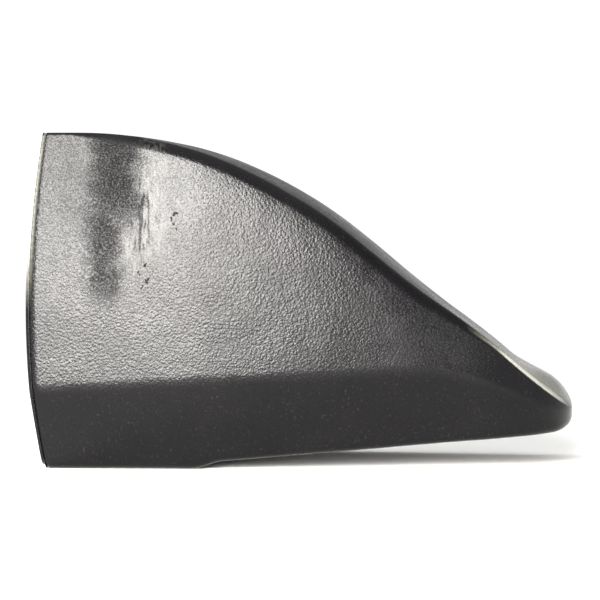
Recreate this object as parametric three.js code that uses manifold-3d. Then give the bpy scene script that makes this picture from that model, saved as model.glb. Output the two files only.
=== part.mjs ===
import * as THREE from 'three';
import { LoftGeometry } from 'three/addons/geometries/LoftGeometry.js';
import { mergeVertices } from 'three/addons/utils/BufferGeometryUtils.js';
import Module from 'manifold-3d';

const wasm = await Module();
wasm.setup();

// All lengths are millimetres. X runs from the socket mouth to the digging tip, Z is up.
// A station is a distance along X, measured from the rearmost point of the rim.

// Overall size of the tooth point.
const toothLength = 205;
const toothHeight = 126;
const toothWidth = 100;

// Side profile: a level top, a curved back, a straight slope to the nose and a raised underside.
const levelTop = 20;
const slopeRun = 60;
const slopeStartHeight = 73;
const noseTopHeight = 25.5;
const noseBottomHeight = 13.6;
const bottomFlat = 61;
const bottomStepRun = 13;
const bottomStepRise = 3;
const backFullness = 0.77;
const rimBulge = 5;
const rimEdge = 1.4;
const noseRounding = 9;

// Plan view: parallel at the rear, then a convex taper to a rounded spade tip.
const parallelLength = 60;
const tipWidth = 68;
const taperPower = 1.5;
const spadeLength = 41;
const spadePower = 2.6;

// Cross-section: a parting ridge low on the flanks, draft above and below it.
const ridgeHeight = 30;
const ridgeRise = 0.052;
const ridgeLimit = 0.55;
const upperDraft = 0.05;
const lowerDraft = 0.27;
const bottomCornerRadius = 3.5;
const ridgeRadius = 16;
const topCornerRadius = 5;
const tipCornerRadius = 1.5;

// The back is crowned across its width, flattens above the tip, and the nose is crowned again.
const crownHeight = 3.2;
const crownRise = [10, 110];
const crownFade = [70, 34];
const noseCrown = 5;
const noseCrownFade = [29, 5];

// Socket for the adapter nose: a parallel pocket, two tapers and a seat between parallel lands.
const sideWall = 10.5;
const topWall = 11;
const bottomWall = 10.5;
const pocketDepth = 55;
const pocketDrop = 3;
const solidTip = 50;
const landLength = 22;
const landHeight = 28.6;
const landRise = 12.5;
const landWidth = 50;
const shoulderFullness = 8;
const socketCorner = 8;
const landCorner = 5;

// Retaining pin, standing upright in slots through the top and bottom walls.
const pinStation = 39;
const pinWidth = 17;
const barThickness = 10;
const rubberThickness = 7;
const slotClearance = 1.5;
const slotCorner = 3;
const ledgeThickness = 4.5;
const ledgeWidth = 4;
const seatGap = 0.3;
const pinTopRecess = 3;
const bondGap = 0.1;
const barEdge = 1.5;
const barLeadIn = 5;
const barLeadTaper = 2;
const rubberRecess = 1;
const notchDepth = 3;
const notchHalfLength = 9;

const slopeStart = toothLength - slopeRun;
const slopeTangent = (slopeStartHeight - noseTopHeight) / slopeRun;
const landEnd = toothLength - solidTip;
const landStart = landEnd - landLength;
const pinDepth = 2 * barThickness + rubberThickness;
const pinCentre = pinStation - toothLength / 2;
const pinFoot = ledgeThickness + seatGap;
const pinTop = toothHeight - pinTopRecess;

function smoothRise(value, low, high) {
  return THREE.MathUtils.smoothstep(value, low, high);
}

// Curved back of the profile: level at the rear, tangent to the straight slope at its end.
function makeBackCurve() {
  const run = (toothHeight - slopeStartHeight) / slopeTangent;
  const meet = slopeStart - run;
  const start = new THREE.Vector2(levelTop, toothHeight);
  const end = new THREE.Vector2(slopeStart, slopeStartHeight);
  const corner = new THREE.Vector2(meet, toothHeight);
  const first = start.clone().lerp(corner, backFullness);
  const second = end.clone().lerp(corner, backFullness);
  return new THREE.CubicBezierCurve(start, first, second, end);
}

const backCurve = makeBackCurve();

function backHeight(station) {
  let low = 0;
  let high = 1;
  for (let step = 0; step < 40; step++) {
    const middle = (low + high) / 2;
    if (backCurve.getPoint(middle).x < station) low = middle;
    else high = middle;
  }
  return backCurve.getPoint(low).y;
}

function topLine(station) {
  if (station <= levelTop) return toothHeight;
  if (station >= slopeStart) return slopeStartHeight - slopeTangent * (station - slopeStart);
  return backHeight(station);
}

function bottomLine(station) {
  const stepEnd = bottomFlat + bottomStepRun;
  if (station <= stepEnd) return bottomStepRise * smoothRise(station, bottomFlat, stepEnd);
  const share = (station - stepEnd) / (toothLength - stepEnd);
  return bottomStepRise + share * (noseBottomHeight - bottomStepRise);
}

function roundEnd(station, start, power) {
  if (station <= start) return 1;
  const share = Math.min((station - start) / (toothLength - start), 1);
  return Math.pow(1 - Math.pow(share, power), 1 / power);
}

function halfWidth(station) {
  const share = Math.max(station - parallelLength, 0) / (toothLength - parallelLength);
  const width = toothWidth - (toothWidth - tipWidth) * Math.pow(share, taperPower);
  return width / 2 * roundEnd(station, toothLength - spadeLength, spadePower);
}

// Height of the crown along the back, and again over the nose.
function crownAt(station) {
  const fromTip = toothLength - station;
  const crown = smoothRise(station, ...crownRise) * smoothRise(fromTip, crownFade[1], crownFade[0]);
  const nose = 1 - smoothRise(fromTip, noseCrownFade[1], noseCrownFade[0]);
  return crownHeight * crown + noseCrown * nose;
}

// The top edge is rounded along the back, and crisp at the rim and around the tip.
function topCornerAt(station) {
  const fromTip = toothLength - station;
  const soft = smoothRise(station, 0, levelTop * 2) * smoothRise(fromTip, noseCrownFade[1], slopeRun);
  return Math.max(topCornerRadius * soft, tipCornerRadius);
}

// Rounds the inner corners of a polyline of [across, height] pairs.
function roundCorners(corners, radii, steps) {
  const points = [];
  corners.forEach((corner, index) => {
    if (index === 0 || index === corners.length - 1 || radii[index] === 0) {
      points.push(corner.clone());
      return;
    }
    const back = corners[index - 1].clone().sub(corner);
    const ahead = corners[index + 1].clone().sub(corner);
    const reach = Math.min(back.length(), ahead.length()) * 0.45;
    back.normalize();
    ahead.normalize();
    const half = Math.acos(THREE.MathUtils.clamp(back.dot(ahead), -1, 1)) / 2;
    const length = Math.min(radii[index] / Math.tan(half), reach);
    const radius = length * Math.tan(half);
    const centre = back.clone().add(ahead).normalize().multiplyScalar(radius / Math.sin(half)).add(corner);
    const from = back.clone().multiplyScalar(length).add(corner).sub(centre);
    const to = ahead.clone().multiplyScalar(length).add(corner).sub(centre);
    const sweep = from.clone().cross(to) > 0 ? 1 : -1;
    for (let step = 0; step <= steps; step++) {
      const angle = sweep * (Math.PI - 2 * half) * step / steps;
      points.push(from.clone().rotateAround(new THREE.Vector2(), angle).add(centre));
    }
  });
  return points;
}

function mirrorRing(half, station, bulge) {
  const whole = [...half, ...half.slice(1, -1).reverse().map((p) => new THREE.Vector2(-p.x, p.y))];
  return whole.map((p) => new THREE.Vector3(station + bulge(p.y) - toothLength / 2, p.x, p.y));
}

// Half of the outer section, from the bottom centre round to the top centre.
function outerHalf(station, inset) {
  const cap = roundEnd(station, toothLength - noseRounding, 2);
  const middle = (topLine(station) + bottomLine(station)) / 2;
  const reach = (topLine(station) - bottomLine(station)) / 2 * cap;
  const crown = crownAt(station) * cap;
  const low = middle - reach + inset;
  const top = middle + reach - inset;
  const edge = top - Math.max(crown, 0);
  const ridge = Math.min(ridgeHeight + ridgeRise * station, low + ridgeLimit * (edge - low));
  const wide = halfWidth(station) - inset;
  const topWide = wide - upperDraft * (edge - ridge);
  const lowWide = wide - lowerDraft * (ridge - low) * Math.min(wide / 20, 1);
  const lowCorner = new THREE.Vector2(lowWide, low);
  const ridgePoint = new THREE.Vector2(wide, ridge);
  const topCorner = new THREE.Vector2(topWide, edge);
  const corners = [new THREE.Vector2(0, low), lowCorner, lowCorner.clone().lerp(ridgePoint, 0.5), ridgePoint];
  for (const share of [0.25, 0.5, 0.75]) corners.push(ridgePoint.clone().lerp(topCorner, share));
  corners.push(topCorner);
  for (const share of [0.7, 0.4, 0]) {
    corners.push(new THREE.Vector2(topWide * share, edge + crown * (1 - share * share)));
  }
  const radii = [0, bottomCornerRadius, 0, ridgeRadius, 0, 0, 0, topCornerAt(station), 0, 0, 0];
  return roundCorners(corners, radii, 4);
}

function rimCurve(height, station) {
  const rise = (height - toothHeight / 2) / (toothHeight / 2);
  return rimBulge * rise * rise * Math.max(1 - station / pocketDepth, 0);
}

function outerRing(station, inset) {
  return mirrorRing(outerHalf(station, inset), station, (height) => rimCurve(height, station));
}

function outerStations() {
  const stations = [];
  const noseStart = toothLength - 3 * noseRounding;
  for (let step = 1; step <= 34; step++) stations.push(THREE.MathUtils.lerp(rimEdge, noseStart, step / 34));
  for (let step = 1; step <= 12; step++) {
    stations.push(noseStart + (toothLength - noseStart) * Math.sin(step / 12 * Math.PI / 2) * 0.9995);
  }
  return stations;
}

function solidFrom(geometry) {
  const bare = new THREE.BufferGeometry();
  bare.setAttribute('position', geometry.getAttribute('position'));
  bare.setIndex(geometry.getIndex());
  const welded = mergeVertices(bare, 1e-5);
  return new wasm.Manifold(new wasm.Mesh({
    numProp: 3,
    vertProperties: welded.attributes.position.array,
    triVerts: new Uint32Array(welded.index.array),
  }));
}

function loftSolid(rings) {
  return solidFrom(new LoftGeometry(rings, { capStart: true, capEnd: true }));
}

function outerSolid() {
  const rings = [
    outerRing(0, rimEdge + sideWall),
    outerRing(0, rimEdge),
    outerRing(0.3 * rimEdge, 0.3 * rimEdge),
    outerRing(rimEdge, 0),
  ];
  for (const station of outerStations()) rings.push(outerRing(station, 0));
  return loftSolid(rings);
}

function socketRing(station, wide, low, top, radius) {
  const corners = [
    new THREE.Vector2(0, low),
    new THREE.Vector2(wide, low),
    new THREE.Vector2(wide, top),
    new THREE.Vector2(0, top),
  ];
  return mirrorRing(roundCorners(corners, [0, radius, radius, 0], 5), station, () => 0);
}

// The void for the adapter nose. The shoulder is the bend between its two tapers.
function socketSolid() {
  const wide = toothWidth / 2 - sideWall;
  const top = toothHeight - topWall;
  const pocketTop = top - pocketDrop;
  const landBottom = bottomWall + landRise;
  const landTop = landBottom + landHeight;
  const shoulder = (pocketDepth + landStart) / 2;
  const shoulderWide = (wide + landWidth / 2) / 2 + 1;
  const shoulderBottom = (bottomWall + landBottom) / 2;
  const shoulderTop = (pocketTop + landTop) / 2 + shoulderFullness;
  const shoulderCorner = (socketCorner + landCorner) / 2;
  return loftSolid([
    socketRing(-rimEdge, wide + rimEdge, bottomWall - rimEdge, top + rimEdge, socketCorner),
    socketRing(rimEdge + rimBulge, wide, bottomWall, top, socketCorner),
    socketRing(pocketDepth, wide, bottomWall, pocketTop, socketCorner),
    socketRing(shoulder, shoulderWide, shoulderBottom, shoulderTop, shoulderCorner),
    socketRing(landStart, landWidth / 2, landBottom, landTop, landCorner),
    socketRing(landEnd, landWidth / 2, landBottom, landTop, landCorner),
  ]);
}

function roundedBlock(lengthX, widthY, radius, low, high, centreX) {
  const x = lengthX / 2;
  const y = widthY / 2;
  const shape = new THREE.Shape();
  shape.absarc(x - radius, y - radius, radius, 0, Math.PI / 2);
  shape.absarc(radius - x, y - radius, radius, Math.PI / 2, Math.PI);
  shape.absarc(radius - x, radius - y, radius, Math.PI, 1.5 * Math.PI);
  shape.absarc(x - radius, radius - y, radius, 1.5 * Math.PI, 2 * Math.PI);
  const block = new THREE.ExtrudeGeometry(shape, { depth: high - low, bevelEnabled: false, curveSegments: 5 });
  return solidFrom(block).translate([centreX, 0, low]);
}

function slotSolids() {
  const long = pinDepth + 2 * slotClearance;
  const wide = pinWidth + 2 * slotClearance;
  const top = roundedBlock(long, wide, slotCorner, toothHeight - 2 * topWall, toothHeight + 2, pinCentre);
  const bottom = roundedBlock(long, wide, slotCorner, ledgeThickness, 2 * bottomWall, pinCentre);
  const knockOut = roundedBlock(
    long - 2 * ledgeWidth, wide - 2 * ledgeWidth, slotCorner, -2, ledgeThickness + 1, pinCentre);
  return top.add(bottom).add(knockOut);
}

function toothPoint() {
  return outerSolid().subtract(socketSolid()).subtract(slotSolids());
}

// One steel bar of the pin: edges broken, and a lead-in taper at the lower end.
function pinBar(innerX, outerX) {
  const side = Math.sign(outerX - innerX);
  const outerFace = Math.abs(outerX - innerX);
  const ring = (height, cut) => {
    const deep = outerFace - cut;
    const half = pinWidth / 2 - cut;
    const edge = Math.min(barEdge, deep / 3);
    const corners = [[0, -half], [deep - edge, -half], [deep, edge - half],
      [deep, half - edge], [deep - edge, half], [0, half]];
    const ordered = side > 0 ? corners : corners.reverse();
    return ordered.map(([deepX, y]) => new THREE.Vector3(pinCentre + innerX + side * deepX, y, height));
  };
  return loftSolid([
    ring(pinFoot, barLeadTaper),
    ring(pinFoot + barLeadIn, 0),
    ring(pinTop - barEdge, 0),
    ring(pinTop, barEdge / 2),
  ]);
}

function rearBar() {
  return pinBar(-rubberThickness / 2, -pinDepth / 2);
}

// The front bar carries the notch that catches on the boss inside the adapter nose.
function frontBar() {
  const bar = pinBar(rubberThickness / 2, pinDepth / 2);
  const middle = (pinTop + pinFoot) / 2;
  const reach = pinDepth / 2;
  const shape = new THREE.Shape();
  shape.moveTo(reach - notchDepth, -notchHalfLength + notchDepth);
  shape.lineTo(reach + 1, -notchHalfLength - 1);
  shape.lineTo(reach + 1, notchHalfLength + 1);
  shape.lineTo(reach - notchDepth, notchHalfLength - notchDepth);
  const wedge = new THREE.ExtrudeGeometry(shape, { depth: pinWidth + 4, bevelEnabled: false });
  const notch = solidFrom(wedge).rotate([90, 0, 0]).translate([pinCentre, pinWidth / 2 + 2, middle]);
  return bar.subtract(notch);
}

function rubberStrip() {
  const long = rubberThickness - 2 * bondGap;
  const wide = pinWidth - 2 * rubberRecess;
  return roundedBlock(long, wide, rubberRecess, pinFoot + barLeadIn, pinTop - 2 * rubberRecess, pinCentre);
}

const point = toothPoint();
const bounds = point.boundingBox();
const centring = -(bounds.min[0] + bounds.max[0]) / 2;

function meshOf(name, solid, material) {
  const output = solid.translate([centring, 0, 0]).getMesh();
  const geometry = new THREE.BufferGeometry();
  geometry.setAttribute('position', new THREE.BufferAttribute(output.vertProperties, 3));
  geometry.setIndex(new THREE.BufferAttribute(output.triVerts, 1));
  geometry.computeVertexNormals();
  const mesh = new THREE.Mesh(geometry, new THREE.MeshStandardMaterial(material));
  mesh.name = name;
  return mesh;
}

const tooth = new THREE.Group();
tooth.name = 'bucket_tooth';
tooth.add(meshOf('tooth_point', point, { color: 0x3a3a3b, roughness: 0.5, metalness: 0.3 }));
tooth.add(meshOf('pin_rear_bar', rearBar(), { color: 0x8d8c88, roughness: 0.4, metalness: 1 }));
tooth.add(meshOf('pin_front_bar', frontBar(), { color: 0x93928d, roughness: 0.4, metalness: 1 }));
tooth.add(meshOf('pin_rubber', rubberStrip(), { color: 0x171717, roughness: 0.8, metalness: 0 }));

export default tooth;
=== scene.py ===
import math

import bmesh
import bpy
from mathutils import Matrix, Vector, noise


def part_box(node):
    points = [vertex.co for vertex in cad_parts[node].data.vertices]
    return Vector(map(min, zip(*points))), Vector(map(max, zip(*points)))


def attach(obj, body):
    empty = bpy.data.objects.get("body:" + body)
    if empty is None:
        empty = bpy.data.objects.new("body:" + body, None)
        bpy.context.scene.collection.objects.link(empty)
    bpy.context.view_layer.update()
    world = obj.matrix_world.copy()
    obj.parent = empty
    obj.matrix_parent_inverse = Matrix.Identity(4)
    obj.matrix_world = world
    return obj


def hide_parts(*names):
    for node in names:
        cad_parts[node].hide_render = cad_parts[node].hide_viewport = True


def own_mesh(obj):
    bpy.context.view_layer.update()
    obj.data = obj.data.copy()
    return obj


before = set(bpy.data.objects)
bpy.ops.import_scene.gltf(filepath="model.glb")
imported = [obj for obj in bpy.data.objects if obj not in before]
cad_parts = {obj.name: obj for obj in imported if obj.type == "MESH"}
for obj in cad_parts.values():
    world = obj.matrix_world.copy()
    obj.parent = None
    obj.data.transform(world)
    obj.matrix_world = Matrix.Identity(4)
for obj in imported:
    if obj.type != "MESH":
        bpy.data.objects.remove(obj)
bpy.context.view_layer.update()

mm = 0.001
toothLow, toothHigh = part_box("tooth_point")
toothLength = (toothHigh.x - toothLow.x) / mm
toothHeight = toothHigh.z / mm
toothWidth = (toothHigh.y - toothLow.y) / mm
rearX = toothLow.x / mm


# numbers and curves

def lerp(start, end, share):
    return start + (end - start) * share


def smoothRise(value, low, high):
    share = min(max((value - low) / (high - low), 0), 1)
    return share * share * (3 - 2 * share)


def softMin(first, second, blend):
    share = min(max(0.5 + 0.5 * (second - first) / blend, 0), 1)
    return lerp(second, first, share) - blend * share * (1 - share)


def roundEnd(station, start, end, power):
    share = min(max((station - start) / (end - start), 0), 1)
    return (1 - share ** power) ** (1 / power)


def roundedOutline(corners, radii, spans, steps):
    # from the bottom centre round to the top centre, always with the same count of points
    points = [Vector(corners[0])]
    for index, radius in enumerate(radii, 1):
        corner = Vector(corners[index])
        back = Vector(corners[index - 1]) - corner
        ahead = Vector(corners[index + 1]) - corner
        reach = min(back.length, ahead.length) * 0.48
        back.normalize()
        ahead.normalize()
        half = back.angle(ahead) / 2
        run = min(radius / math.tan(half), reach)
        centre = corner + (back + ahead).normalized() * run / math.cos(half)
        arm = corner + back * run - centre
        start = math.atan2(arm.y, arm.x)
        straight(points, centre + arm, spans[index - 1])
        for step in range(1, steps[index - 1] + 1):
            angle = start + (math.pi - 2 * half) * step / steps[index - 1]
            points.append(centre + Vector((math.cos(angle), math.sin(angle))) * arm.length)
    straight(points, Vector(corners[-1]), spans[-1])
    return points


def straight(points, end, count):
    start = points[-1]
    for step in range(1, count + 1):
        points.append(start.lerp(end, step / count))


# mesh and object helpers

def addRing(bm, points):
    verts = [bm.verts.new(Vector(point) * mm) for point in points]
    return [bm.edges.new(pair) for pair in zip(verts, verts[1:] + verts[:1])]


def joinRings(bm, rings):
    loops = [addRing(bm, ring) for ring in rings]
    for here, ahead in zip(loops, loops[1:]):
        bmesh.ops.bridge_loops(bm, edges=here + ahead)
    for loop in (loops[0], loops[-1]):
        bmesh.ops.edgeloop_fill(bm, edges=loop)
    faceOutward(bm)


def faceOutward(bm):
    bmesh.ops.recalc_face_normals(bm, faces=bm.faces)
    if bm.calc_volume(signed=True) < 0:
        bmesh.ops.reverse_faces(bm, faces=bm.faces)


creaseAngle = 32      # degrees, past which an edge is shaded sharp


def makeObject(name, bm, materials, crease=creaseAngle):
    for face in bm.faces:
        face.smooth = True
    for edge in bm.edges:
        edge.smooth = edge.calc_face_angle(0) < math.radians(crease)
    mesh = bpy.data.meshes.new(name)
    bm.to_mesh(mesh)
    bm.free()
    for material in materials:
        mesh.materials.append(material)
    made = bpy.data.objects.new(name, mesh)
    bpy.context.scene.collection.objects.link(made)
    return made


def cutWith(target, cutters):
    for cutter in cutters:
        cut = target.modifiers.new(cutter.name, "BOOLEAN")
        cut.object = cutter
        cut.solver = "EXACT"
    bpy.context.view_layer.update()
    evaluated = target.evaluated_get(bpy.context.evaluated_depsgraph_get())
    mesh = bpy.data.meshes.new_from_object(evaluated)
    target.modifiers.clear()
    target.data = mesh
    for cutter in cutters:
        bpy.data.objects.remove(cutter)


# material helpers

def linearColour(hexText):
    channels = [int(hexText[start:start + 2], 16) / 255 for start in (1, 3, 5)]
    return [c / 12.92 if c <= 0.04045 else ((c + 0.055) / 1.055) ** 2.4 for c in channels] + [1]


def addNode(tree, kind, settings=None, inputs=None):
    node = tree.nodes.new(kind)
    for key, value in (settings or {}).items():
        setattr(node, key, value)
    for key, value in (inputs or {}).items():
        if isinstance(value, bpy.types.NodeSocket):
            tree.links.new(value, node.inputs[key])
        else:
            node.inputs[key].default_value = value
    return node


def newMaterial(name):
    material = bpy.data.materials.new(name)
    material.use_nodes = True
    tree = material.node_tree
    tree.nodes.clear()
    shader = addNode(tree, "ShaderNodeBsdfPrincipled")
    output = addNode(tree, "ShaderNodeOutputMaterial")
    tree.links.new(shader.outputs[0], output.inputs["Surface"])
    return material, tree, shader


def windowMask(tree, value, low, high, soft):
    # 1 between low and high, fading out over soft on both sides, all in millimetres
    rise = addNode(tree, "ShaderNodeMapRange", {"interpolation_type": "SMOOTHSTEP"},
                   {0: value, 1: (low - soft) * mm, 2: (low + soft) * mm})
    fall = addNode(tree, "ShaderNodeMapRange", {"interpolation_type": "SMOOTHSTEP"},
                   {0: value, 1: (high - soft) * mm, 2: (high + soft) * mm, 3: 1, 4: 0})
    return addNode(tree, "ShaderNodeMath", {"operation": "MULTIPLY"},
                   {0: rise.outputs[0], 1: fall.outputs[0]}).outputs[0]


def weightedSum(tree, start, terms):
    # start plus each value times its weight, where any of them is a number or a socket
    total = start
    for value, weight in terms:
        total = addNode(tree, "ShaderNodeMath", {"operation": "MULTIPLY_ADD"},
                        {0: value, 1: weight, 2: total}).outputs[0]
    return total


# black dip paint over a shot-blasted forging: a soft gloss that the pebbled skin breaks into fine sparkle

paint = {
    "deep": "#050506", "thin": "#0c0b0d", "dust": "#6d675d",
    # the last two greys are painted highlight colours, laid on the rim edge and the nose
    "rubbed": "#8d8a84", "nick": "#0d0c0b", "highlightGrey": "#6c6d64", "edge": "#8a8984",
    "pebble": 0.95, "pebbleDepth": 0.053, "wander": 0.9,      # millimetres across, deep and out of line
    "grain": 0.55, "grainDepth": 0.03,
    "wave": 26, "waveDepth": 0.2,
    "roughness": 0.24, "ior": 1.45, "specular": 0.22,      # bitumen paint, lean in gloss
    "lean": 0.052, "pooled": (40, 29),      # it lies thicker and smoother below this leaning line
    "drained": (5, 62, 0.62),      # and fills more of the pebbles towards the tip
    "cloudScale": 45, "streakScale": 900, "bendScale": 900,      # noise cells in a metre
}

# rubbed places on the near flank, in millimetres: left, right, low, high and how softly they end
scuffs = {
    "dull": [(-77, -61, 94, 135, 5), (-78, -68, 64, 98, 4)],
    "rubbed": [(-60, -50, 76, 135, 3), (-67, -58, 68, 92, 4)],
    "scored": [(-62, -55, 80, 108, 2)],
    "hazed": [(-104, -60, 86, 138, 8)],
    "flankY": (-30, -36), "ragged": 5, "raggedScale": 160,
    # place along X, height and radius of each nick, and how far its outline strays
    "nicks": [(-46.6, 95.5, 0.8), (-47.9, 93.8, 0.7), (-47.3, 91.9, 0.5), (-46.2, 89.8, 0.45),
              (-57.5, 77.0, 0.45), (-59.5, 73.5, 0.5), (-56.5, 71.0, 0.5), (-58.5, 68.0, 0.4)],
    "stray": (4, 5), "strayScale": 620,
}


def strongestOnFlank(tree, masks, nearFlank):
    strongest = masks[0]
    for mask in masks[1:]:
        strongest = addNode(tree, "ShaderNodeMath", {"operation": "MAXIMUM"},
                            {0: strongest, 1: mask}).outputs[0]
    return addNode(tree, "ShaderNodeMath", {"operation": "MULTIPLY"},
                   {0: strongest, 1: nearFlank}).outputs[0]


def rubbedPlaces(tree, alongX, upZ, place, nearFlank):
    # one mask for each kind of rubbing, with a ragged outline
    wobble = addNode(tree, "ShaderNodeTexNoise", {},
                     {"Vector": place, "Scale": scuffs["raggedScale"], "Detail": 3}).outputs[0]
    shift = addNode(tree, "ShaderNodeMapRange", {},
                    {0: wobble, 3: -scuffs["ragged"] * mm, 4: scuffs["ragged"] * mm}).outputs[0]
    raggedX = addNode(tree, "ShaderNodeMath", {"operation": "ADD"}, {0: alongX, 1: shift}).outputs[0]
    places = {}
    for kind in ("dull", "rubbed", "scored", "hazed"):
        masks = []
        for left, right, low, high, soft in scuffs[kind]:
            masks.append(addNode(tree, "ShaderNodeMath", {"operation": "MULTIPLY"},
                                 {0: windowMask(tree, raggedX, left, right, soft),
                                  1: windowMask(tree, upZ, low, high, 2 * soft)}).outputs[0])
        places[kind] = strongestOnFlank(tree, masks, nearFlank)
    return places


def nickMask(tree, place, nearFlank):
    strayX, strayZ = scuffs["stray"]
    crumb = addNode(tree, "ShaderNodeTexNoise", {},
                    {"Vector": place, "Scale": scuffs["strayScale"], "Detail": 3})
    strayed = addNode(tree, "ShaderNodeVectorMath", {"operation": "MULTIPLY_ADD"},
                      {0: crumb.outputs["Color"], 1: (strayX * mm, 0, strayZ * mm), 2: place})
    flat = addNode(tree, "ShaderNodeVectorMath", {"operation": "MULTIPLY"},
                   {0: strayed.outputs[0], 1: (1, 0, 1)})
    masks = []
    for x, z, radius in scuffs["nicks"]:
        # the noise averages a half, which moves every nick by half its stray
        centre = ((x + strayX / 2) * mm, 0, (z + strayZ / 2) * mm)
        away = addNode(tree, "ShaderNodeVectorMath", {"operation": "DISTANCE"},
                       {0: flat.outputs[0], 1: centre}).outputs["Value"]
        inner, outer = 0.7 * radius * mm, 1.1 * radius * mm
        masks.append(addNode(tree, "ShaderNodeMapRange", {"interpolation_type": "SMOOTHSTEP"},
                             {0: away, 1: inner, 2: outer, 3: 1, 4: 0}).outputs[0])
    return strongestOnFlank(tree, masks, nearFlank)


def paintColour(tree, cloud, speck, rubbedStreaks, nicks):
    body = addNode(tree, "ShaderNodeMix", {"data_type": "RGBA"},
                   {0: cloud, 6: linearColour(paint["deep"]), 7: linearColour(paint["thin"])})
    dustMask = addNode(tree, "ShaderNodeMapRange", {}, {0: speck, 1: 0.62, 2: 0.85, 4: 0.10})
    dusted = addNode(tree, "ShaderNodeMix", {"data_type": "RGBA"},
                     {0: dustMask.outputs[0], 6: body.outputs[2], 7: linearColour(paint["dust"])})
    paleMask = addNode(tree, "ShaderNodeMath", {"operation": "MULTIPLY"}, {0: rubbedStreaks, 1: 0.06})
    pale = addNode(tree, "ShaderNodeMix", {"data_type": "RGBA"},
                   {0: paleMask.outputs[0], 6: dusted.outputs[2], 7: linearColour(paint["rubbed"])})
    nicked = addNode(tree, "ShaderNodeMix", {"data_type": "RGBA"},
                     {0: nicks, 6: pale.outputs[2], 7: linearColour(paint["nick"])})
    # painted highlight: where the vertex attribute says so, the colour turns pale grey, standing in for
    # light caught on the rim's upper edge, along the nose edge and over the up-facing top of the nose
    painted_highlight = addNode(tree, "ShaderNodeAttribute", {"attribute_name": "painted_highlight"}).outputs["Fac"]
    broken = addNode(tree, "ShaderNodeMapRange", {}, {0: speck, 1: 0.3, 2: 0.7, 3: 0.75, 4: 1.2})
    highlightHere = addNode(tree, "ShaderNodeMath", {"operation": "MULTIPLY", "use_clamp": True},
                       {0: painted_highlight, 1: broken.outputs[0]}).outputs[0]
    highlightTone = addNode(tree, "ShaderNodeMix", {"data_type": "RGBA"},
                      {0: highlightHere, 6: linearColour(paint["highlightGrey"]), 7: linearColour(paint["edge"])})
    showing = addNode(tree, "ShaderNodeMapRange", {}, {0: highlightHere, 1: 0.02, 2: 0.6})
    return addNode(tree, "ShaderNodeMix", {"data_type": "RGBA"},
                   {0: showing.outputs[0], 6: nicked.outputs[2], 7: highlightTone.outputs[2]}).outputs[2]


def paintSkin(tree, place, pebbles):
    # long waves, then fine grain, then pebbles, each bump laid over the one before
    heights = {"pebble": pebbles}
    for kind in ("wave", "grain"):
        swell = addNode(tree, "ShaderNodeTexNoise", {},
                        {"Vector": place, "Scale": 1 / (paint[kind] * mm), "Detail": 2})
        heights[kind] = swell.outputs[0]
    below = {}
    for kind in ("wave", "grain", "pebble"):
        bump = addNode(tree, "ShaderNodeBump", {},
                       {"Height": heights[kind], "Distance": paint[kind + "Depth"] * mm, **below})
        below = {"Normal": bump.outputs[0]}
    return bump.outputs[0]


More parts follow.
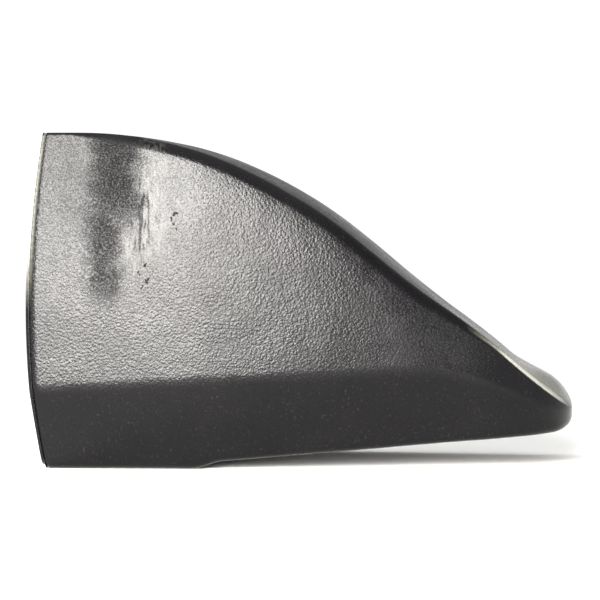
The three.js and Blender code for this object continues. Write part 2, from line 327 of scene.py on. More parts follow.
def blackDipPaint():
    material, tree, shader = newMaterial("blackDipPaint")
    place = addNode(tree, "ShaderNodeTexCoord").outputs["Object"]
    alongX, acrossY, upZ = addNode(tree, "ShaderNodeSeparateXYZ", {}, {0: place}).outputs
    nearFlank = addNode(tree, "ShaderNodeMapRange", {},
                        {0: acrossY, 1: scuffs["flankY"][0] * mm, 2: scuffs["flankY"][1] * mm}).outputs[0]
    places = rubbedPlaces(tree, alongX, upZ, place, nearFlank)
    nicks = nickMask(tree, place, nearFlank)
    cloud = addNode(tree, "ShaderNodeTexNoise", {},
                    {"Vector": place, "Scale": paint["cloudScale"],
                     "Detail": 5, "Roughness": 0.6}).outputs[0]
    speck = addNode(tree, "ShaderNodeTexNoise", {},
                    {"Vector": place, "Scale": 1 / (paint["pebble"] * mm), "Detail": 2}).outputs[0]
    sand = addNode(tree, "ShaderNodeTexNoise", {},
                   {"Vector": place, "Scale": 1 / (paint["grain"] * mm), "Detail": 1}).outputs[0]

    # streaks run down the flank: the noise is stretched along Z
    stretch = addNode(tree, "ShaderNodeMapping", {}, {"Vector": place, "Scale": (1, 1, 0.15)})
    streak = addNode(tree, "ShaderNodeTexNoise", {},
                     {"Vector": stretch.outputs[0], "Scale": paint["streakScale"],
                      "Detail": 3}).outputs[0]
    streakMask = addNode(tree, "ShaderNodeMapRange", {"interpolation_type": "SMOOTHSTEP"},
                         {0: streak, 1: 0.42, 2: 0.62}).outputs[0]
    scratch = addNode(tree, "ShaderNodeMapRange", {"interpolation_type": "SMOOTHSTEP"},
                      {0: streak, 1: 0.50, 2: 0.42, 4: 0.20}).outputs[0]
    rubbedStreaks = addNode(tree, "ShaderNodeMath", {"operation": "MULTIPLY"},
                            {0: places["rubbed"], 1: streakMask}).outputs[0]

    leaning = weightedSum(tree, upZ, [(alongX, -paint["lean"])])
    pooled = addNode(tree, "ShaderNodeMapRange", {"interpolation_type": "SMOOTHSTEP"},
                     {0: leaning, 1: paint["pooled"][0] * mm, 2: paint["pooled"][1] * mm}).outputs[0]
    tipStart, tipEnd, tipShare = paint["drained"]
    drained = addNode(tree, "ShaderNodeMapRange", {"interpolation_type": "SMOOTHSTEP"},
                      {0: alongX, 1: tipStart * mm, 2: tipEnd * mm, 4: tipShare}).outputs[0]

    smooth, rougher = paint["roughness"] - 0.04, paint["roughness"] + 0.05
    patchy = addNode(tree, "ShaderNodeMapRange", {}, {0: cloud, 1: 0.3, 2: 0.7, 3: smooth, 4: rougher})
    mottled = addNode(tree, "ShaderNodeMapRange", {}, {0: sand, 1: 0.36, 2: 0.64, 3: 0.20, 4: 0.46})
    peppered = addNode(tree, "ShaderNodeMapRange", {}, {0: sand, 1: 0.34, 2: 0.66, 3: -0.05, 4: 0.12})
    rough = weightedSum(tree, patchy.outputs[0], [
        (places["dull"], mottled.outputs[0]), (peppered.outputs[0], 1), (places["hazed"], 0.10),
        (pooled, -0.09), (places["scored"], scratch), (rubbedStreaks, -0.02), (nicks, 0.4)])

    bend = addNode(tree, "ShaderNodeTexNoise", {},
                   {"Vector": place, "Scale": paint["bendScale"], "Detail": 1})
    warped = addNode(tree, "ShaderNodeVectorMath", {"operation": "MULTIPLY_ADD"},
                     {0: bend.outputs["Color"], 1: (paint["wander"] * mm,) * 3, 2: place})
    pebbles = addNode(tree, "ShaderNodeTexVoronoi", {},
                      {"Vector": warped.outputs[0], "Scale": 1 / (paint["pebble"] * mm)})
    domes = addNode(tree, "ShaderNodeMapRange", {},
                    {0: pebbles.outputs["Distance"], 1: 0.1, 2: 0.75, 3: 1, 4: 0}).outputs[0]
    bare = weightedSum(tree, 1, [(places["rubbed"], -0.55), (pooled, -0.45)])
    keep = addNode(tree, "ShaderNodeMath", {"operation": "SUBTRACT", "use_clamp": True},
                   {0: bare, 1: drained}).outputs[0]
    skinHeight = weightedSum(tree, 0, [(domes, keep), (nicks, -2.5), (rubbedStreaks, 0.35)])

    for target, value in (("Base Color", paintColour(tree, cloud, speck, rubbedStreaks, nicks)),
                          ("Roughness", rough), ("Normal", paintSkin(tree, place, skinHeight))):
        tree.links.new(value, shader.inputs[target])
    shader.inputs["IOR"].default_value = paint["ior"]
    shader.inputs["Specular IOR Level"].default_value = paint["specular"]
    return material


# inside of the socket: bare forging scale, dull, blotched and slightly brown

forging = {
    "dark": "#1b1a1a", "brown": "#4a3f38", "blotchScale": 70, "flakeScale": 260,      # cells in a metre
    "blotchDepth": 0.35, "flakeDepth": 0.12, "metallic": 0.35,
}


def forgedScale():
    material, tree, shader = newMaterial("forgedScale")
    place = addNode(tree, "ShaderNodeTexCoord").outputs["Object"]
    blotch = addNode(tree, "ShaderNodeTexNoise", {},
                     {"Vector": place, "Scale": forging["blotchScale"], "Detail": 6, "Roughness": 0.65})
    flakes = addNode(tree, "ShaderNodeTexVoronoi", {}, {"Vector": place, "Scale": forging["flakeScale"]})
    tone = addNode(tree, "ShaderNodeValToRGB", {}, {0: blotch.outputs[0]})
    tone.color_ramp.elements[0].position = 0.32
    tone.color_ramp.elements[0].color = linearColour(forging["dark"])
    tone.color_ramp.elements[1].position = 0.72
    tone.color_ramp.elements[1].color = linearColour(forging["brown"])
    tree.links.new(tone.outputs[0], shader.inputs["Base Color"])
    rough = addNode(tree, "ShaderNodeMapRange", {}, {0: blotch.outputs[0], 3: 0.45, 4: 0.8})
    tree.links.new(rough.outputs[0], shader.inputs["Roughness"])
    shader.inputs["Metallic"].default_value = forging["metallic"]
    coarse = addNode(tree, "ShaderNodeBump", {},
                     {"Height": blotch.outputs[0], "Distance": forging["blotchDepth"] * mm})
    flaky = addNode(tree, "ShaderNodeBump", {},
                    {"Height": flakes.outputs["Distance"], "Distance": forging["flakeDepth"] * mm,
                     "Normal": coarse.outputs[0]})
    tree.links.new(flaky.outputs[0], shader.inputs["Normal"])
    return material


# the tooth point

toothShape = {      # millimetres, stations run forward from the rim
    "levelTop": 20, "slopeRun": 60, "slopeStartHeight": 73, "noseTop": 25.5, "noseBottom": 13.6,
    "slopeSag": 2.6, "sagRise": (-40, 7), "noseLift": 1.75, "noseLiftFade": (27, 4),
    "bottomFlat": 61, "bottomStepRun": 13, "bottomStepRise": 3, "backFullness": 0.77,
    "rimBulge": 5, "rimEdge": 1.4, "rimInset": 3, "noseRounding": 9, "noseFullness": 2.6,
    "parallel": 60, "tipWidth": 68, "taperPower": 1.5, "spadeLength": 41, "spadePower": 2.6,
    "ridgeHeight": 30, "ridgeRise": 0.052, "ridgeLimit": 0.55, "ridgeBlend": 6, "ridgeRadius": 16,
    "upperDraft": 0.05, "lowerDraft": 0.27, "draftFade": 20,
    "bottomCorner": 3.5, "topCorner": 5, "topCornerRise": 40, "tipCorner": 1.3,
    "flankBow": 0.7, "bowRise": (20, 60),
    "ease": 0.7, "easeDepth": 14, "easeRise": (45, 100), "easeFade": (12, 50),
    "crown": 3.2, "crownRise": (10, 110), "crownFade": (34, 70),
    "noseCrown": 5.2, "noseCrownFade": (5, 29),
    "stationStep": 1.5, "noseRings": 34, "noseEnd": 0.9996,
    "unevenness": 0.16, "rippleShare": 0.4,
    "swells": 30, "ripples": 95,      # noise cells in a metre
}

socketShape = {
    "sideWall": 10.5, "topWall": 11, "bottomWall": 10.5, "pocketDepth": 55, "pocketDrop": 3,
    "solidTip": 50, "landLength": 22, "landHeight": 28.6, "landRise": 12.5, "landWidth": 50,
    "shoulderFullness": 8, "corner": 8, "landCorner": 5, "endFillet": 3, "mouthEdge": 1.6,
    "stationStep": 4,
}

slotShape = {
    "station": 39, "long": 30, "wide": 20, "corner": 3, "ledge": 4.5, "ledgeWidth": 4, "edge": 1.2,
    "intoSocket": 20, "above": 4, "bottomTop": 18, "overlap": 3,      # how far the cutters reach
}

highlightShape = {      # where the painted highlight lies, in millimetres, and how strong it is
    "rimDepth": (1.2, 2.0), "rimBand": (1.6, 2.6), "rimHeight": (55, 95), "noseReach": 52,
    "line": 0.8, "lineInset": 0.5, "lineWidth": (0.5, 1.5), "lineStart": (0, 6), "lineFade": (24, 34),
    "face": 0.55, "faceSlope": (0.25, 0.55), "faceFade": (22, 44),
}

# how many faces each straight run and each rounded corner of a ring gets
outerSpans, outerSteps = (10, 8, 30, 14), (7, 9, 10)
socketSpans, socketSteps = (14, 40, 16), (9, 9)


def topLine(station):
    s = toothShape
    slopeStart = toothLength - s["slopeRun"]
    slope = (s["slopeStartHeight"] - s["noseTop"]) / s["slopeRun"]
    if station <= s["levelTop"]:
        return toothHeight
    # the slope sits a little below its straight line and the nose a little above it
    sag = s["slopeSag"] * smoothRise(station - slopeStart, *s["sagRise"])
    sag *= 1 - s["noseLift"] * smoothRise(station, *[toothLength - reach for reach in s["noseLiftFade"]])
    if station >= slopeStart:
        return s["slopeStartHeight"] - slope * (station - slopeStart) - sag
    meet = slopeStart - (toothHeight - s["slopeStartHeight"]) / slope
    first = lerp(s["levelTop"], meet, s["backFullness"])
    second = Vector((slopeStart, s["slopeStartHeight"]))
    second = second.lerp(Vector((meet, toothHeight)), s["backFullness"])
    # the back is a Bezier curve, so its parameter at this station is found by halving
    low, high = 0, 1
    for _ in range(30):
        t = (low + high) / 2
        back, ahead = (1 - t), t
        x = back ** 3 * s["levelTop"] + 3 * back * back * ahead * first
        x += 3 * back * ahead * ahead * second.x + ahead ** 3 * slopeStart
        low, high = (t, high) if x < station else (low, t)
    height = (back ** 3 + 3 * back * back * ahead) * toothHeight
    return height + 3 * back * ahead * ahead * second.y + ahead ** 3 * s["slopeStartHeight"] - sag


def bottomLine(station):
    s = toothShape
    stepEnd = s["bottomFlat"] + s["bottomStepRun"]
    if station <= stepEnd:
        return s["bottomStepRise"] * smoothRise(station, s["bottomFlat"], stepEnd)
    return lerp(s["bottomStepRise"], s["noseBottom"], (station - stepEnd) / (toothLength - stepEnd))


def halfWidth(station):
    s = toothShape
    share = max(station - s["parallel"], 0) / (toothLength - s["parallel"])
    width = toothWidth - (toothWidth - s["tipWidth"]) * share ** s["taperPower"]
    return width / 2 * roundEnd(station, toothLength - s["spadeLength"], toothLength, s["spadePower"])


def crownAt(station):
    s = toothShape
    fromTip = toothLength - station
    crown = smoothRise(station, *s["crownRise"]) * smoothRise(fromTip, *s["crownFade"])
    return s["crown"] * crown + s["noseCrown"] * (1 - smoothRise(fromTip, *s["noseCrownFade"]))


def topCornerAt(station):
    s = toothShape
    soft = smoothRise(station, 0, s["topCornerRise"])
    soft *= smoothRise(toothLength - station, s["noseCrownFade"][0], s["slopeRun"])
    return max(s["topCorner"] * soft, s["tipCorner"])


def outerRing(station, inset=0):
    s = toothShape
    cap = roundEnd(station, toothLength - s["noseRounding"], toothLength, s["noseFullness"])
    middle = (topLine(station) + bottomLine(station)) / 2
    reach = (topLine(station) - bottomLine(station)) / 2 * cap
    crown = crownAt(station) * cap
    low, top = middle - reach + inset, middle + reach - inset
    edge = top - max(crown, 0)
    limit = low + s["ridgeLimit"] * (edge - low)
    ridge = softMin(s["ridgeHeight"] + s["ridgeRise"] * station, limit, s["ridgeBlend"])
    wide = halfWidth(station) - inset
    topWide = wide - s["upperDraft"] * (edge - ridge)
    lowWide = wide - s["lowerDraft"] * (ridge - low) * min(wide / s["draftFade"], 1)
    corners = [(0, low), (lowWide, low), (wide, ridge), (topWide, edge), (0, edge)]
    radii = (s["bottomCorner"], s["ridgeRadius"], topCornerAt(station))
    half = roundedOutline(corners, radii, outerSpans, outerSteps)
    ease = s["ease"] * smoothRise(station, *s["easeRise"])
    ease *= smoothRise(toothLength - station, *s["easeFade"])
    upper = edge - ridge
    depth = min(s["easeDepth"], 0.8 * upper)
    for point in half:
        if point.y > ridge:
            share = (point.y - ridge) / upper
            near = max(1 - (edge - point.y) / depth, 0)
            lift = crown * max(1 - (point.x / topWide) ** 2, 0)
            bow = s["flankBow"] * math.sin(math.pi * min(share, 1)) * smoothRise(upper, *s["bowRise"])
            point.x *= 1 + (bow - ease * min(near, 1) ** 2) / topWide
            point.y += lift
    return wholeRing(half, station)


def rimCurve(height, station):
    rise = (height - toothHeight / 2) / (toothHeight / 2)
    return toothShape["rimBulge"] * rise * rise * max(1 - station / socketShape["pocketDepth"], 0)


def wholeRing(half, station):
    mirrored = [Vector((-p.x, p.y)) for p in reversed(half[1:-1])]
    return [(rearX + station + rimCurve(p.y, station), p.x, p.y) for p in half + mirrored]


def socketProfile():
    # half width, bottom, top and corner radius at each bend of the void
    s = socketShape
    wide, top = toothWidth / 2 - s["sideWall"], toothHeight - s["topWall"]
    landEnd = toothLength - s["solidTip"]
    landStart = landEnd - s["landLength"]
    landBottom = s["bottomWall"] + s["landRise"]
    landTop = landBottom + s["landHeight"]
    pocketTop = top - s["pocketDrop"]
    return [
        (0, (wide, s["bottomWall"], top, s["corner"])),
        (s["pocketDepth"], (wide, s["bottomWall"], pocketTop, s["corner"])),
        ((s["pocketDepth"] + landStart) / 2,
         ((wide + s["landWidth"] / 2) / 2 + 1, (s["bottomWall"] + landBottom) / 2,
          (pocketTop + landTop) / 2 + s["shoulderFullness"], (s["corner"] + s["landCorner"]) / 2)),
        (landStart, (s["landWidth"] / 2, landBottom, landTop, s["landCorner"])),
        (landEnd, (s["landWidth"] / 2, landBottom, landTop, s["landCorner"])),
    ]


def socketAt(station):
    # the bends are eased over a few millimetres, as a forging die leaves them
    profile = socketProfile()
    total = Vector((0, 0, 0, 0))
    offsets = (-4, -2, 0, 2, 4)
    for offset in offsets:
        at = min(max(station + offset, 0), profile[-1][0])
        for (start, here), (end, ahead) in zip(profile, profile[1:]):
            if start <= at <= end:
                total += Vector(here).lerp(Vector(ahead), (at - start) / (end - start))
                break
    return total / len(offsets)


def socketRing(station, inset=0):
    wide, low, top, radius = socketAt(station)
    wide, low, top = wide - inset, low + inset, top - inset
    corners = [(0, low), (wide, low), (wide, top), (0, top)]
    return wholeRing(roundedOutline(corners, (radius, radius), socketSpans, socketSteps), station)


def quarterTurns(radius, count):
    # how far along and how far in each step of a rounded edge lies
    for step in range(count + 1):
        angle = math.pi / 2 * step / count
        yield radius * (1 - math.sin(angle)), radius * (1 - math.cos(angle))


def outerRings():
    s = toothShape
    rings = []
    noseStart = toothLength - 3 * s["noseRounding"]
    for step in range(s["noseRings"], 0, -1):
        share = math.sin(step / s["noseRings"] * math.pi / 2) * s["noseEnd"]
        rings.append(outerRing(lerp(noseStart, toothLength, share)))
    count = round((noseStart - s["rimEdge"]) / s["stationStep"])
    for step in range(count, 0, -1):
        rings.append(outerRing(lerp(s["rimEdge"], noseStart, step / count)))
    for back, inward in quarterTurns(s["rimEdge"], 5):      # on round the edge and onto the rim
        rings.append(outerRing(s["rimEdge"] - back, s["rimEdge"] - inward))
    rings.append(outerRing(0, s["rimInset"]))
    return rings


def socketRings():
    s = socketShape
    rings = []
    for back, outward in quarterTurns(s["mouthEdge"], 4):
        rings.append(socketRing(back, -outward))
    landEnd = toothLength - s["solidTip"]
    count = round((landEnd - s["mouthEdge"] - s["endFillet"]) / s["stationStep"])
    for step in range(1, count + 1):
        rings.append(socketRing(lerp(s["mouthEdge"], landEnd - s["endFillet"], step / count)))
    for step in range(1, 6):
        angle = math.pi / 2 * step / 5
        rings.append(socketRing(landEnd - s["endFillet"] * (1 - math.sin(angle)),
                                s["endFillet"] * (1 - math.cos(angle))))
    return rings


def buildTooth(skin, inside):
    s = toothShape
    bm = bmesh.new()
    joinRings(bm, outerRings() + socketRings())
    bm.normal_update()
    for vert in bm.verts:
        # a forged face is never quite flat
        lift = noise.noise(vert.co * s["swells"]) + s["rippleShare"] * noise.noise(vert.co * s["ripples"])
        vert.co += vert.normal * lift * s["unevenness"] * mm
        vert.co.z = max(vert.co.z, 0)      # it still stands flat
    tooth = makeObject("toothPoint", bm, [skin, inside])
    cutWith(tooth, slotCutters())
    paintFaces(tooth)
    return tooth


def paintFaces(tooth):
    bm = bmesh.new()
    bm.from_mesh(tooth.data)
    faceOutward(bm)
    print("tooth volume in cubic centimetres", round(bm.calc_volume(signed=True) * 1e6, 1))
    for face in bm.faces:
        face.material_index = 1 if insideSocket(face.calc_center_median() / mm) else 0
        face.smooth = True
    for edge in bm.edges:
        edge.smooth = edge.calc_face_angle(0) < math.radians(creaseAngle)
    bm.normal_update()
    # the painted highlight is stored on each vertex for the paint to read
    painted_highlight = bm.verts.layers.float.new("painted_highlight")
    for vert in bm.verts:
        vert[painted_highlight] = paintedHighlightAt(vert.co / mm, vert.normal.z)
    bm.to_mesh(tooth.data)
    bm.free()


def paintedHighlightAt(point, up):
    # painted highlight: 1 on the rim edge, fading towards its lower part, less along the nose edges and
    # over the top of the nose where it faces up
    s, w = toothShape, highlightShape
    station = point.x - rearX
    fromTip = toothLength - station
    fromRim = station - rimCurve(point.z, 0)
    # the rim edge's painted highlight, kept to its upper part where the light falls
    if fromRim < w["rimDepth"][1]:
        side = toothWidth / 2 - s["upperDraft"] * max(point.z - s["ridgeHeight"], 0)
        inward = min(side - abs(point.y), topLine(0) - point.z)
        strip = (1 - smoothRise(fromRim, *w["rimDepth"])) * (1 - smoothRise(inward, *w["rimBand"]))
        return strip * smoothRise(point.z, *w["rimHeight"])
    if fromTip > w["noseReach"]:
        return 0
    edge = topLine(station) - max(crownAt(station), 0)
    topWide = halfWidth(station) - s["upperDraft"] * (edge - s["ridgeHeight"])
    # a painted highlight line along the nose's top edge
    away = math.hypot(abs(point.y) - topWide + w["lineInset"], point.z - edge + w["lineInset"])
    line = w["line"] * (1 - smoothRise(away, *w["lineWidth"]))
    line *= smoothRise(fromTip, *w["lineStart"]) * (1 - smoothRise(fromTip, *w["lineFade"]))
    # the nose top is painted lighter where its normal points up
    face = w["face"] * smoothRise(up, *w["faceSlope"]) * (1 - smoothRise(fromTip, *w["faceFade"]))
    return max(line, face)


def insideSocket(point):
    station = point.x - rearX
    rimReach, endReach, slack = 3, 1, 0.6      # paint turns in over the rim, scale starts behind it
    if station < rimReach or station > toothLength - socketShape["solidTip"] + endReach:
        return False
    wide, low, top, _ = socketAt(station)
    return abs(point.y) < wide + slack and low - slack < point.z < top + slack


def roundedCutter(name, long, wide, levels):
    # one rounded face drawn out through its levels, each (height, growth all round)
    bm = bmesh.new()
    bmesh.ops.create_grid(bm, x_segments=1, y_segments=1, size=1)
    bmesh.ops.scale(bm, vec=(long / 2 * mm, wide / 2 * mm, 1), verts=bm.verts)
    bmesh.ops.bevel(bm, geom=bm.verts[:], affect="VERTICES", offset=slotShape["corner"] * mm,
                    offset_type="OFFSET", segments=6, profile=0.5, material=-1)
    centre = Vector(((rearX + slotShape["station"]) * mm, 0, 0))
    bmesh.ops.translate(bm, vec=centre + Vector((0, 0, levels[0][0] * mm)), verts=bm.verts)
    size = Vector((long, wide))
    growth = 0
    top = bm.faces[:]
    for step, (height, grown) in enumerate(levels[1:]):
        moved = bmesh.ops.extrude_face_region(bm, geom=top)["geom"]
        if step > 0:      # the first face stays as the cutter's own end
            bmesh.ops.delete(bm, geom=top, context="FACES_ONLY")
        verts = [item for item in moved if isinstance(item, bmesh.types.BMVert)]
        factor = [(side + 2 * grown) / (side + 2 * growth) for side in size]
        middle = Matrix.Translation(-centre)
        bmesh.ops.scale(bm, vec=(factor[0], factor[1], 1), space=middle, verts=verts)
        for vert in verts:
            vert.co.z = height * mm
        top = [item for item in moved if isinstance(item, bmesh.types.BMFace)]
        growth = grown
    faceOutward(bm)
    return makeObject(name, bm, [])


def flared(edge, height, upward):
    # a rounded edge where the cutter leaves the steel at that height
    turn = 1 if upward else -1
    for step in range(5):
        angle = math.pi / 2 * step / 4
        yield height - turn * edge * (1 - math.sin(angle)), edge * (1 - math.cos(angle))


def slotCutters():
    s = slotShape
    long, wide, edge = s["long"], s["wide"], s["edge"]
    clear = edge + 0.01      # a hair wider than the rounded edge
    topLevels = [(toothHeight - s["intoSocket"], 0), *flared(edge, toothHeight, True),
                 (toothHeight + s["above"], clear)]
    top = roundedCutter("topSlot", long, wide, topLevels)
    # its upper end follows the tooth's back
    for vert in top.data.vertices:
        if vert.co.z / mm > toothHeight - s["intoSocket"] / 2:
            station = vert.co.x / mm - rearX
            vert.co.z += (topLine(station) - toothHeight) * mm
    bottom = roundedCutter("bottomSlot", long, wide, [(s["ledge"], 0), (s["bottomTop"], 0)])
    hole = [size - 2 * s["ledgeWidth"] for size in (long, wide)]
    holeLevels = [(s["ledge"] + s["overlap"], 0), *flared(edge, 0, False), (-s["above"], clear)]
    knockOut = roundedCutter("knockOut", hole[0], hole[1], holeLevels)
    return [top, bottom, knockOut]


print("tooth point")
skin = blackDipPaint()
inside = forgedScale()
tooth = buildTooth(skin, inside)
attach(tooth, "tooth")
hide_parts("tooth_point")


# drawn bar, heat treated and oiled: grey satin metal with cloudy stains and draw lines along its length

pinShape = {      # millimetres
    "edge": 1.2, "leadIn": 5, "leadTaper": 2, "notchDepth": 3, "notchHalf": 9, "rubberEdge": 1.6,
    "crease": 40,      # degrees
}

barSteel = {
    "grey": "#5a5853", "pale": "#8a867e", "roughness": (0.28, 0.46), "drawDepth": 0.03,
    "drawScale": 1400, "drawStretch": 0.05, "stainScale": 90,      # noise cells in a metre
}


def oiledSteel():
    material, tree, shader = newMaterial("oiledSteel")
    place = addNode(tree, "ShaderNodeTexCoord").outputs["Object"]
    drawn = addNode(tree, "ShaderNodeMapping", {},
                    {"Vector": place, "Scale": (1, 1, barSteel["drawStretch"])})
    lines = addNode(tree, "ShaderNodeTexNoise", {},
                    {"Vector": drawn.outputs[0], "Scale": barSteel["drawScale"], "Detail": 4})
    blotch = addNode(tree, "ShaderNodeTexNoise", {},
                     {"Vector": place, "Scale": barSteel["stainScale"], "Detail": 5})
    tone = addNode(tree, "ShaderNodeMix", {"data_type": "RGBA"},
                   {0: blotch.outputs[0], 6: linearColour(barSteel["grey"]),
                    7: linearColour(barSteel["pale"])})
    tree.links.new(tone.outputs[2], shader.inputs["Base Color"])
    shader.inputs["Metallic"].default_value = 1
    satin, dull = barSteel["roughness"]
    rough = addNode(tree, "ShaderNodeMapRange", {},
                    {0: blotch.outputs[0], 1: 0.3, 2: 0.7, 3: satin, 4: dull})
    tree.links.new(rough.outputs[0], shader.inputs["Roughness"])
    bump = addNode(tree, "ShaderNodeBump", {},
                   {"Height": lines.outputs[0], "Distance": barSteel["drawDepth"] * mm})
    tree.links.new(bump.outputs[0], shader.inputs["Normal"])
    return material


# rubber moulded and bonded between the bars: nearly black and dull, with faint mottling and a grey bloom

stripRubber = {
    "black": "#161616", "bloom": "#2b2a28", "roughness": (0.55, 0.8), "mottleDepth": 0.06,
    "mottleScale": 320, "bloomScale": 60,      # noise cells in a metre
}


def mouldedRubber():
    material, tree, shader = newMaterial("mouldedRubber")
    place = addNode(tree, "ShaderNodeTexCoord").outputs["Object"]
    mottle = addNode(tree, "ShaderNodeTexNoise", {},
                     {"Vector": place, "Scale": stripRubber["mottleScale"], "Detail": 4})
    bloom = addNode(tree, "ShaderNodeTexNoise", {},
                    {"Vector": place, "Scale": stripRubber["bloomScale"], "Detail": 3})
    tone = addNode(tree, "ShaderNodeMix", {"data_type": "RGBA"},
                   {0: bloom.outputs[0], 6: linearColour(stripRubber["black"]),
                    7: linearColour(stripRubber["bloom"])})
    tree.links.new(tone.outputs[2], shader.inputs["Base Color"])
    low, high = stripRubber["roughness"]
    rough = addNode(tree, "ShaderNodeMapRange", {}, {0: bloom.outputs[0], 3: low, 4: high})
    tree.links.new(rough.outputs[0], shader.inputs["Roughness"])
    bump = addNode(tree, "ShaderNodeBump", {},
                   {"Height": mottle.outputs[0], "Distance": stripRubber["mottleDepth"] * mm})
    tree.links.new(bump.outputs[0], shader.inputs["Normal"])
    return material


def blockBetween(low, high, cuts):
    # a cube stretched between two corners, scored across at each height in cuts
    bm = bmesh.new()
    bmesh.ops.create_cube(bm, size=1)
    low, high = Vector(low) * mm, Vector(high) * mm
    bmesh.ops.scale(bm, vec=high - low, verts=bm.verts)
    bmesh.ops.translate(bm, vec=(low + high) / 2, verts=bm.verts)
    for height in cuts:
        bmesh.ops.bisect_plane(bm, geom=bm.verts[:] + bm.edges[:] + bm.faces[:], dist=1e-7,
                               plane_co=(0, 0, height * mm), plane_no=(0, 0, 1))
    return bm


def bevelSharp(bm, width, segments, angle=20):
    bm.normal_update()
    sharp = [edge for edge in bm.edges if edge.calc_face_angle(0) > math.radians(angle)]
    bmesh.ops.bevel(bm, geom=sharp, affect="EDGES", offset=width * mm, offset_type="OFFSET",
                    segments=segments, profile=0.5, material=-1)
    faceOutward(bm)


def buildBar(name, node, steel, notched):
    p = pinShape
    low, high = [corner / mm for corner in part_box(node)]
    cuts = [low.z + p["leadIn"]]
    middle = (low.z + high.z) / 2
    if notched:
        cuts += [middle + side * p["notchHalf"] for side in (-1, 1)]
        cuts += [middle + side * (p["notchHalf"] - p["notchDepth"]) for side in (-1, 1)]
    bm = blockBetween(low, high, cuts)
    near = 0.1      # how close to a face still counts as on it
    foot = [vert for vert in bm.verts if vert.co.z < (low.z + near) * mm]
    shrink = [(size - 2 * p["leadTaper"]) / size for size in (high.x - low.x, high.y - low.y)]
    centre = Matrix.Translation(-(low + high) / 2 * mm)
    bmesh.ops.scale(bm, vec=(shrink[0], shrink[1], 1), space=centre, verts=foot)
    if notched:
        for vert in bm.verts:
            inNotch = abs(vert.co.z / mm - middle) < p["notchHalf"] - near
            if inNotch and vert.co.x > (high.x - near) * mm:
                vert.co.x -= p["notchDepth"] * mm
    bevelSharp(bm, p["edge"], 3)
    return makeObject(name, bm, [steel], p["crease"])


def buildRubber(rubber):
    low, high = [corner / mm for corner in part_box("pin_rubber")]
    bm = blockBetween(low, high, [])
    bevelSharp(bm, pinShape["rubberEdge"], 4)
    return makeObject("pinRubber", bm, [rubber], pinShape["crease"])


print("retaining pin")
steel = oiledSteel()
pinRearBar = buildBar("pinRearBar", "pin_rear_bar", steel, False)
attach(pinRearBar, "pin")
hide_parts("pin_rear_bar")
pinFrontBar = buildBar("pinFrontBar", "pin_front_bar", steel, True)
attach(pinFrontBar, "pin_front")
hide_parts("pin_front_bar")
pinRubber = buildRubber(mouldedRubber())
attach(pinRubber, "pin")
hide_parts("pin_rubber")
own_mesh(pinRubber)


# camera, light and floor

view = {
    "yaw": 3.8, "elevation": 1.9,      # degrees towards the tip and above
    "distance": 0.95, "aim": (-0.0031, 0, 0.0622), "frameWidth": 0.2338, "sensor": 36,
}


def wayTo(azimuth, elevation):
    # azimuth 0 is straight in front of the near flank, positive towards the tip
    turn, rise = math.radians(azimuth), math.radians(elevation)
    return Vector((math.sin(turn) * math.cos(rise), -math.cos(turn) * math.cos(rise), math.sin(rise)))


def placeCamera():
    aim = Vector(view["aim"])
    way = wayTo(view["yaw"], view["elevation"])
    data = bpy.data.cameras.new("camera")
    data.sensor_width = view["sensor"]
    data.lens = view["sensor"] * view["distance"] / view["frameWidth"]
    camera = bpy.data.objects.new("camera", data)
    camera.location = aim + way * view["distance"]
    camera.rotation_euler = (-way).to_track_quat("-Z", "Y").to_euler()
    bpy.context.scene.collection.objects.link(camera)
    bpy.context.scene.camera = camera


def areaLight(name, azimuth, elevation, distance, size, power, colour):
    way = wayTo(azimuth, elevation)
    data = bpy.data.lights.new(name, "AREA")
    data.shape = "RECTANGLE"
    data.size, data.size_y = size
    data.energy = power
    data.color = linearColour(colour)[:3]
    light = bpy.data.objects.new(name, data)
    light.location = Vector(studio["aim"]) + way * distance
    light.rotation_euler = (-way).to_track_quat("-Z", "Y").to_euler()
    bpy.context.scene.collection.objects.link(light)


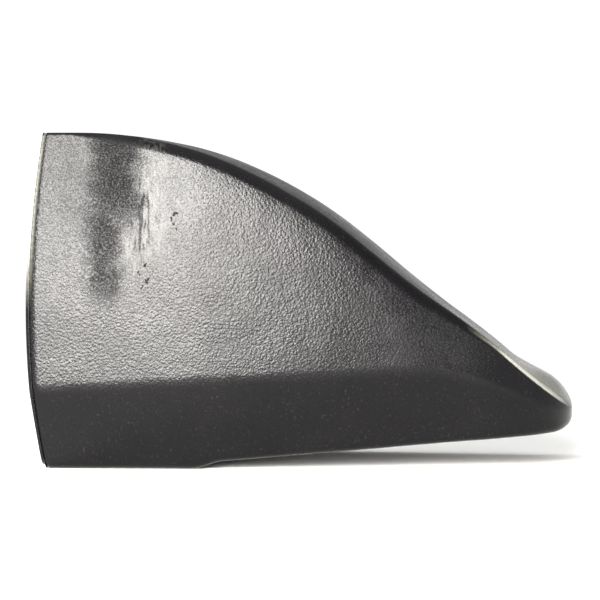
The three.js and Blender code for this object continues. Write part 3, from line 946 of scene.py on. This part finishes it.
studio = {
    "floor": "#f3f3f1", "floorRadius": 1.6, "floorFade": (0.14, 0.9), "floorDrop": 0.0001,      # metres
    "ceiling": 0.3, "wall": 1.06, "wallTop": (0.10, 0.22),      # sine of the height where the wall ends
    "aim": (0, 0, 0.06),
    # azimuth and elevation seen from the tooth, distance and size in metres, watts and colour
    "softbox": (-11.5, 12.5, 1.2, (0.64, 0.58), 74, "#fffcf8"),
    "edgeStrip": (-112, 22, 1.0, (0.45, 0.8), 16, "#ffffff"),
    "overhead": (0, 88, 1.9, (2.4, 2.4), 7, "#ffffff"),
}


def buildFloor():
    s = studio
    bm = bmesh.new()
    bmesh.ops.create_circle(bm, cap_ends=True, segments=96, radius=s["floorRadius"])
    bmesh.ops.translate(bm, vec=(0, 0, -s["floorDrop"]), verts=bm.verts)
    material, tree, shader = newMaterial("paleFloor")
    shader.inputs["Base Color"].default_value = linearColour(s["floor"])
    shader.inputs["Roughness"].default_value = 0.9
    shader.inputs["Specular IOR Level"].default_value = 0.1
    place = addNode(tree, "ShaderNodeTexCoord").outputs["Object"]
    away = addNode(tree, "ShaderNodeVectorMath", {"operation": "LENGTH"}, {0: place}).outputs["Value"]
    solid = addNode(tree, "ShaderNodeMapRange", {"interpolation_type": "SMOOTHSTEP"},
                    {0: away, 1: s["floorFade"][0], 2: s["floorFade"][1], 3: 1, 4: 0})
    tree.links.new(solid.outputs[0], shader.inputs["Alpha"])      # the floor melts into the pale wall
    floor = makeObject("floor", bm, [material])


def lightScene():
    s = studio
    world = bpy.data.worlds.new("studio")
    world.use_nodes = True
    tree = world.node_tree
    place = addNode(tree, "ShaderNodeTexCoord").outputs["Generated"]
    upZ = addNode(tree, "ShaderNodeSeparateXYZ", {}, {0: place}).outputs[2]
    wall = addNode(tree, "ShaderNodeMapRange", {"interpolation_type": "SMOOTHSTEP"},
                   {0: upZ, 1: s["wallTop"][0], 2: s["wallTop"][1], 3: s["wall"], 4: s["ceiling"]})
    tree.links.new(wall.outputs[0], tree.nodes["Background"].inputs["Strength"])
    tree.nodes["Background"].inputs["Color"].default_value = (1, 1, 1, 1)
    bpy.context.scene.world = world
    for name in ("softbox", "edgeStrip", "overhead"):
        areaLight(name, *s[name])
    bpy.context.scene.view_settings.view_transform = "Standard"


print("camera and light")
placeCamera()
buildFloor()
lightScene()
